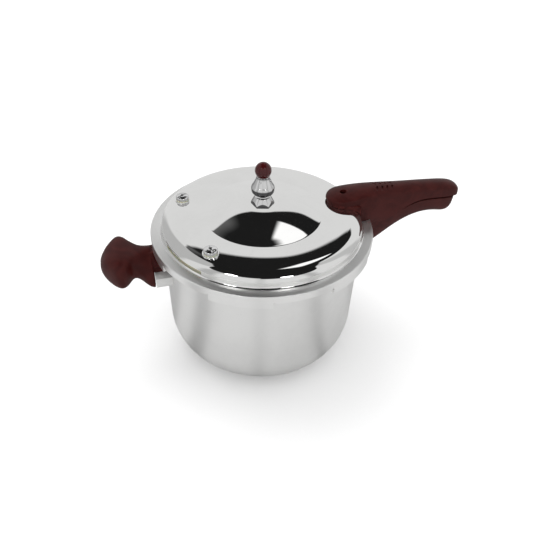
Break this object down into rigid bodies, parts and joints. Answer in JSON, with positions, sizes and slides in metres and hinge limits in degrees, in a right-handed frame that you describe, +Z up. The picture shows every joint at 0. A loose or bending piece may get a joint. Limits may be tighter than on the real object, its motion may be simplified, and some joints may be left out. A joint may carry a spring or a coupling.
{
  "type": "stovetop pressure cooker",
  "caption": "Stovetop pressure cooker with a mirror-polished bayonet lid, centre pressure weight, relief valves, long paired handles and a helper handle.",
  "frame": {"origin": "centre of the pot's flat base, where it stands", "axes": "+Z up along the pot's axis; +X along the two long handles; the helper handle is at -X"},
  "size_m": [0.4203, 0.246, 0.2388],
  "materials": {
    "satin_aluminium": "satin brushed",
    "mirror_aluminium": "mirror polished",
    "steel": "bright machined",
    "bracket_steel": "satin pressed sheet",
    "polished_steel": "mirror polished",
    "brass": "machined",
    "bakelite": "moulded phenolic, satin, dark red-brown",
    "gloss_bakelite": "moulded phenolic, glossy, dark red-brown",
    "silicone": "translucent cream silicone"
  },
  "bodies": {
    "pot": {"pot_shell": "satin_aluminium", "pot_handle_bracket": "steel", "pot_handle": "bakelite", "pot_handle_screw": "steel", "pot_handle_nut": "steel", "helper_bracket": "bracket_steel", "helper_handle": "bakelite", "helper_screw": "steel", "helper_nut": "steel"},
    "lid": {"lid_shell": "mirror_aluminium", "gasket": "silicone", "lid_handle": "bakelite", "lid_handle_seat": "bakelite", "lid_handle_screws": "steel", "lid_handle_seals": "silicone", "indicator_guide": "steel", "indicator_nut": "steel", "vent_pipe": "polished_steel", "vent_washer": "silicone", "vent_nut": "steel", "vent_strainer": "steel", "relief_valve_1_cap": "polished_steel", "relief_valve_1_washer": "silicone", "relief_valve_1_nut": "steel", "relief_valve_2_cap": "polished_steel", "relief_valve_2_washer": "silicone", "relief_valve_2_nut": "steel"},
    "weight": {"weight_body": "polished_steel", "weight_knob": "gloss_bakelite", "weight_needle": "steel"},
    "indicator": {"indicator_pin": "steel", "indicator_seal": "silicone"},
    "poppet_1": {"relief_valve_1_poppet": "brass", "relief_valve_1_spring": "steel"},
    "poppet_2": {"relief_valve_2_poppet": "brass", "relief_valve_2_spring": "steel"}
  },
  "joints": [
    {"name": "lid_turn", "type": "hinge", "parent": "pot", "child": "lid", "pos_m": [0, 0, 0.16], "axis": [0, 0, 1], "range_deg": [0, 30]},
    {"name": "weight_lift", "type": "slide", "parent": "lid", "child": "weight", "axis": [0, 0, 1], "range_m": [0, 0.02]},
    {"name": "indicator_rise", "type": "slide", "parent": "lid", "child": "indicator", "axis": [0, 0, 1], "range_m": [0, 0.0055]},
    {"name": "relief_valve_1_lift", "type": "slide", "parent": "lid", "child": "poppet_1", "axis": [0, 0, 1], "range_m": [0, 0.002], "stiffness_N_per_m": 900, "springref_m": -0.002, "deforming": ["relief_valve_1_spring"]},
    {"name": "relief_valve_2_lift", "type": "slide", "parent": "lid", "child": "poppet_2", "axis": [0, 0, 1], "range_m": [0, 0.002], "stiffness_N_per_m": 900, "springref_m": -0.002, "deforming": ["relief_valve_2_spring"]}
  ]
}
